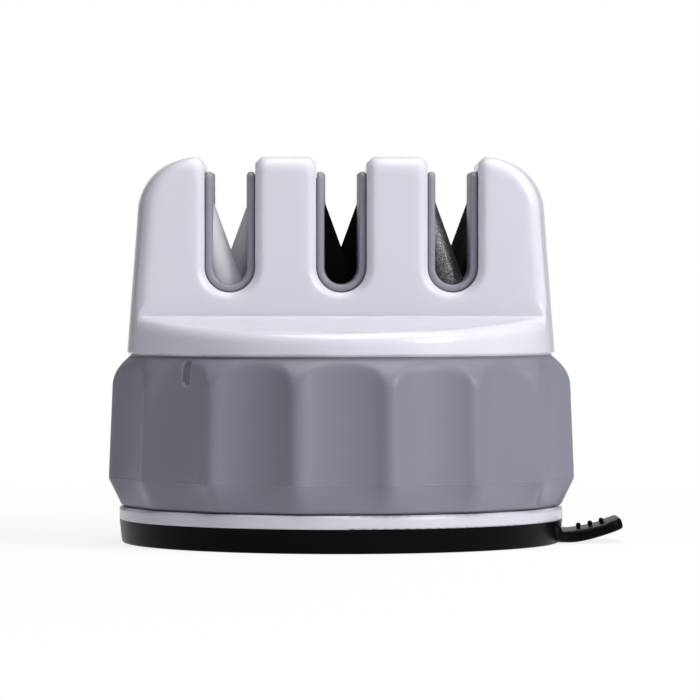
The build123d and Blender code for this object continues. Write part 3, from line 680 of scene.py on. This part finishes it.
pullTab = {
    "start": 31.5, "tip": tabHigh[0] - 0.35, "root": tabLow[0], "bendFrom": 35.9, "bendTo": 37.4,
    "halfWidth": tabHigh[1] - 0.5, "leastHalf": 1.0, "leastTall": 0.05,
    "flare": 5.7, "flareEnd": 36.3, "flareStart": 33.0, "flareMost": 1.5, "flarePower": 1.1,
    "under": 0.05, "sweep": 2.3, "sweepPower": 1.55, "upper": 1.97, "slope": 0.10, "curl": 0.0175,
    "rootTop": 3.40, "rootDrop": (34.2, 35.3), "corner": 1.8, "edge": 0.4, "cornerPower": 0.30,
    "padFrom": 42.5, "padBefore": 0.6, "padAfter": 0.2, "padRise": 0.12, "tipLean": 16.0, "leanRun": 2.0,
    "nubs": (38.0, 39.85, 41.65), "nubRadius": 0.41, "nubHalf": 1.1, "nubNeck": 0.36, "nubCentre": 0.40,
    "nubSunk": 0.4, "domeLow": -0.55, "domeHigh": 0.97, "domeRows": 16, "nubAround": 40,
    "stations": 150, "crowding": 1.25, "around": 84,
}


# height of the tab's upper face, a line that curls up with the square of the distance
def tabTop(look, x):
    along = np.clip(x - look["root"], 0, None)
    return look["upper"] + look["slope"] * along + look["curl"] * along**2


# Section carried from the pad's wall to the tip: a rounded box between a lower and an upper line, as wide
# as the plan.
def tabBody(look):
    place = np.linspace(0, 1, look["stations"])
    x = look["start"] + (look["tip"] - look["start"]) * (1 - (1 - place)**look["crowding"])
    reach = np.clip((x - look["root"]) / (look["tip"] - look["root"]), 0, 1)
    low = look["under"] + look["sweep"] * reach**look["sweepPower"]
    high = look["rootTop"] + (tabTop(look, x) - look["rootTop"]) * smoothStep(*look["rootDrop"], x)
    padStart, padEnd = look["padFrom"] - look["padBefore"], look["padFrom"] + look["padAfter"]
    high = high + look["padRise"] * smoothStep(padStart, padEnd, x)
    # plan: flared root, straight sides, rounded corners at the tip
    toRoot = (look["flareEnd"] - x) / (look["flareEnd"] - look["flareStart"])
    flare = look["flare"] * np.clip(toRoot, 0, look["flareMost"])**look["flarePower"]
    toTip = np.clip(x - (look["tip"] - look["corner"]), 0, look["corner"])
    narrow = look["corner"] - np.sqrt(np.maximum(look["corner"]**2 - toTip**2, 0))
    # the end is rounded from above and below
    toEnd = np.clip(x - (look["tip"] - look["edge"]), 0, look["edge"])
    pinch = look["edge"] - np.sqrt(np.maximum(look["edge"]**2 - toEnd**2, 0))
    low, high = low + pinch, high - pinch
    half = np.maximum(look["halfWidth"] - narrow, look["leastHalf"])
    middle = (low + high) / 2
    tall = np.maximum((high - low) / 2, look["leastTall"])
    # a rounded box as a superellipse with tight corners
    turn = np.linspace(0, 2 * math.pi, look["around"], endpoint=False)
    side = np.sign(np.cos(turn)) * np.abs(np.cos(turn))**look["cornerPower"]
    rise = np.sign(np.sin(turn)) * np.abs(np.sin(turn))**look["cornerPower"]
    upShare = (rise[None, :] + 1) / 2
    width = half[:, None] + flare[:, None] * upShare
    z = middle[:, None] + rise[None, :] * tall[:, None]
    # the end stands square to the tab's rise
    leanStart = look["padFrom"] - look["leanRun"]
    lean = math.tan(math.radians(look["tipLean"])) * smoothStep(leanStart, look["tip"], x)
    return np.stack([x[:, None] - lean[:, None] * (z - middle[:, None]), side[None, :] * width, z], -1)


# Grip nub: an upright neck that swells into a dome, stretched across the tab.
def tabNub(look, x):
    turn = np.linspace(0, 2 * math.pi, look["nubAround"], endpoint=False)
    dome = np.linspace(look["domeLow"], look["domeHigh"], look["domeRows"]) * math.pi / 2
    radius = np.concatenate([[look["nubNeck"]], look["nubRadius"] * np.cos(dome)])
    rise = np.concatenate([[-look["nubSunk"]], look["nubCentre"] + look["nubRadius"] * np.sin(dome)])
    across = radius[:, None] * look["nubHalf"] / look["nubRadius"] * np.sin(turn)
    level = tabTop(look, x) + rise[:, None] + 0 * across
    return np.stack([x + radius[:, None] * np.cos(turn), across, level], -1)


def makePullTab(look):
    grids = [tabBody(look)] + [tabNub(look, x) for x in look["nubs"]]
    return pieceFromGrids("pull_tab", grids, rowsClose=False, crease=60)


tabPiece = makePullTab(pullTab)
wear(tabPiece, padRubber)
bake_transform(tabPiece)
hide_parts("release_tab")
print("pull tab:", len(tabPiece.data.polygons), "faces")

gritRod = {
    "radius": 2.5, "chamfer": 0.3, "lean": 20.0, "grain": 0.055, "seed": 11, "around": 150, "along": 210,
}


# Cylinder along a leaning axis with chamfered ends; grains of random height stand on its side.
def makeGritRod(name, node, lean, look):
    points = np.empty(len(nodes[node].data.vertices) * 3)
    nodes[node].data.vertices.foreach_get("co", points)
    points = points.reshape(-1, 3) / mm
    centre = (points.min(0) + points.max(0)) / 2
    axis = np.array([math.sin(lean), 0, math.cos(lean)])
    sideways = np.array([math.cos(lean), 0, -math.sin(lean)])
    reach = np.abs((points - centre) @ axis).max()
    along = np.linspace(-reach + look["chamfer"], reach - look["chamfer"], look["along"])
    turn = np.linspace(0, 2 * math.pi, look["around"], endpoint=False)
    random = np.random.default_rng(look["seed"])
    grains = random.random((look["along"], look["around"]))**2 * look["grain"]
    radius = look["radius"] - look["grain"] + grains
    bare = look["radius"] - look["chamfer"] - look["grain"]
    radius = np.vstack([np.full(look["around"], bare), radius, np.full(look["around"], bare)])
    along = np.concatenate([[-reach], along, [reach]])[:, None, None]
    outward = np.cos(turn)[:, None] * sideways + np.sin(turn)[:, None] * np.array([0, 1, 0])
    grid = centre + along * axis + radius[:, :, None] * outward
    return pieceFromGrids(name, [grid], rowsClose=False, crease=80)


# the front rod wears the diamond grit, the rear rod its copy with painted shade
for end, side, material in (("front", -1, diamondGrit), ("rear", 1, shadedDiamondGrit)):
    node = "diamond_rod_" + end
    rod = makeGritRod("diamond_grit_" + end, node, side * math.radians(gritRod["lean"]), gritRod)
    wear(rod, material)
    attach(rod, "sharpener")
    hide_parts(node)
print("diamond rods made")

springLow, springHigh = boxOf("return_spring")
returnCoil = {"wire": 0.8, "turns": 3, "lift": 3.0, "endGap": 0.1, "along": 300, "around": 20}


# Round wire carried along a helix: the centre climbs evenly, and the section turns with the helix.
def makeReturnCoil(look):
    half = look["wire"] / 2
    mean = springHigh[0] - half
    turn = np.linspace(0, 2 * math.pi * look["turns"], look["along"])
    climb = (springHigh[2] - springLow[2] - look["wire"]) / turn[-1]
    out = np.stack([np.cos(turn), np.sin(turn), 0 * turn], -1)
    ahead = np.stack([-mean * np.sin(turn), mean * np.cos(turn), climb + 0 * turn], -1)
    ahead = ahead / np.linalg.norm(ahead, axis=1, keepdims=True)
    up = np.cross(ahead, out)
    centre = mean * out + np.outer(springLow[2] + half + climb * turn, (0, 0, 1))
    around = np.linspace(0, 2 * math.pi, look["around"], endpoint=False)[None, :, None]
    grid = centre[:, None] + half * (np.cos(around) * out[:, None] + np.sin(around) * up[:, None])
    return pieceFromGrids("return_coil", [grid], rowsClose=False, crease=60)


# the real coil shortens towards the housing floor as the yoke rises; this mesh keeps one fixed length
coilPiece = makeReturnCoil(returnCoil)
wear(coilPiece, zincSteel)
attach(coilPiece, "sharpener")
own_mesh(coilPiece)
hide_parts("return_spring")
print("return coil:", len(coilPiece.data.polygons), "faces")

# white sweep: camera and gloss see plain white, and a share of real shading near the part keeps its shadow
floorLook = {"size": 6.0, "tone": (0.86, 0.86, 0.87, 1), "shadowShare": 0.17, "near": 0.06, "far": 0.22}


def makeFloor(look):
    half = look["size"] / 2
    mesh = bpy.data.meshes.new("floor")
    corners = [(-half, -half, 0), (half, -half, 0), (half, half, 0), (-half, half, 0)]
    mesh.from_pydata(corners, [], [(0, 1, 2, 3)])
    floor = bpy.data.objects.new("floor", mesh)
    bpy.context.scene.collection.objects.link(floor)
    material = bpy.data.materials.new("sweepWhite")
    material.use_nodes = True
    tree = material.node_tree
    tree.nodes.clear()
    out = addNode(tree, "OutputMaterial")
    paper = addNode(tree, "BsdfDiffuse", values={"Color": look["tone"]})
    white = addNode(tree, "Emission", values={"Color": (1, 1, 1, 1), "Strength": 1.0})
    rays = addNode(tree, "LightPath")
    seen = mathNode(tree, "ADD", rays.outputs["Is Camera Ray"], rays.outputs["Is Glossy Ray"])
    seen = mathNode(tree, "ADD", seen, rays.outputs["Is Transmission Ray"])
    length = addNode(tree, "VectorMath", {"operation": "LENGTH"})
    tree.links.new(addNode(tree, "TexCoord").outputs["Object"], length.inputs[0])
    fade = addNode(tree, "MapRange", values={
        "From Min": look["near"], "From Max": look["far"], "To Min": 1 - look["shadowShare"], "To Max": 1.0,
    })
    tree.links.new(length.outputs["Value"], fade.inputs["Value"])
    share = mathNode(tree, "MULTIPLY", seen, fade.outputs["Result"])
    mix = addNode(tree, "MixShader")
    tree.links.new(share, mix.inputs[0])
    tree.links.new(paper.outputs[0], mix.inputs[1])
    tree.links.new(white.outputs[0], mix.inputs[2])
    tree.links.new(mix.outputs[0], out.inputs["Surface"])
    mesh.materials.append(material)


makeFloor(floorLook)

# studio round the part: dim to the left, a little paler to the right and in front, and a white backdrop
# straight behind
worldLook = {
    "tint": (0.94, 0.95, 1.0, 1), "left": 0.12, "right": 0.16, "sideSpan": 0.8, "front": 0.15,
    "backdropEdge": 0.95, "backdropFull": 0.995,
}


def makeWorld(look):
    world = bpy.data.worlds.new("studio")
    bpy.context.scene.world = world
    world.use_nodes = True
    tree = world.node_tree
    tree.nodes.clear()
    out = addNode(tree, "OutputWorld")
    fill = addNode(tree, "Background", values={"Color": look["tint"]})
    white = addNode(tree, "Background", values={"Color": (1, 1, 1, 1), "Strength": 1.0})
    toward = addNode(tree, "SeparateXYZ")
    tree.links.new(addNode(tree, "TexCoord").outputs["Generated"], toward.inputs[0])
    side = addNode(tree, "MapRange", values={
        "From Min": -look["sideSpan"], "From Max": look["sideSpan"],
        "To Min": look["left"], "To Max": look["right"],
    })
    tree.links.new(toward.outputs["X"], side.inputs["Value"])
    ahead = addNode(tree, "MapRange", values={"From Min": 0.0, "From Max": -1.0, "To Max": look["front"]})
    tree.links.new(toward.outputs["Y"], ahead.inputs["Value"])
    level = mathNode(tree, "ADD", side.outputs["Result"], ahead.outputs["Result"])
    tree.links.new(level, fill.inputs["Strength"])
    behind = addNode(tree, "MapRange", values={
        "From Min": look["backdropEdge"], "From Max": look["backdropFull"],
    })
    tree.links.new(toward.outputs["Y"], behind.inputs["Value"])
    rays = addNode(tree, "LightPath")
    mirrored = mathNode(tree, "ADD", rays.outputs["Is Glossy Ray"], rays.outputs["Is Transmission Ray"])
    mirrored = mathNode(tree, "MULTIPLY", mirrored, behind.outputs["Result"])
    seen = mathNode(tree, "MAXIMUM", rays.outputs["Is Camera Ray"], mirrored)
    mix = addNode(tree, "MixShader")
    tree.links.new(seen, mix.inputs[0])
    tree.links.new(fill.outputs[0], mix.inputs[1])
    tree.links.new(white.outputs[0], mix.inputs[2])
    tree.links.new(mix.outputs[0], out.inputs["Surface"])


makeWorld(worldLook)

target = Vector((0.0, 0.0, 0.032))  # all lamps face the part's middle
softBoxes = {
    "overhead": {"at": (0.05, -0.06, 0.64), "size": (0.55, 0.45), "power": 3.2},
    "keyRight": {"at": (0.576, -0.45, 0.357), "size": (0.26, 0.4), "power": 4.1},
}
for name, look in softBoxes.items():
    lamp = bpy.data.lights.new(name, "AREA")
    lamp.shape = "RECTANGLE"
    lamp.size, lamp.size_y = look["size"]
    lamp.energy = look["power"]
    holder = bpy.data.objects.new(name, lamp)
    holder.location = look["at"]
    holder.rotation_euler = (target - Vector(look["at"])).to_track_quat("-Z", "Y").to_euler()
    bpy.context.scene.collection.objects.link(holder)
print("floor, world and", len(softBoxes), "lamps placed")

# the photo's framing: axis 9 px left of the middle, horizon 54 px above it
shot = {
    "distance": 0.680, "height": 0.0393, "aside": -0.0045, "across": 0.00144, "aimHeight": 0.0306,
    "lens": 218.6, "sensor": 36, "near": 0.01, "far": 20,
}
camera = bpy.data.cameras.new("shot")
camera.lens = shot["lens"]
camera.sensor_width = shot["sensor"]
camera.clip_start = shot["near"]
camera.clip_end = shot["far"]
view = bpy.data.objects.new("shot", camera)
view.location = (shot["aside"], -shot["distance"], shot["height"])
aim = Vector((shot["across"], 0, shot["aimHeight"]))
view.rotation_euler = (aim - view.location).to_track_quat("-Z", "Y").to_euler()
bpy.context.scene.collection.objects.link(view)
bpy.context.scene.camera = view
bpy.context.scene.view_settings.view_transform = "Standard"
print("camera set")
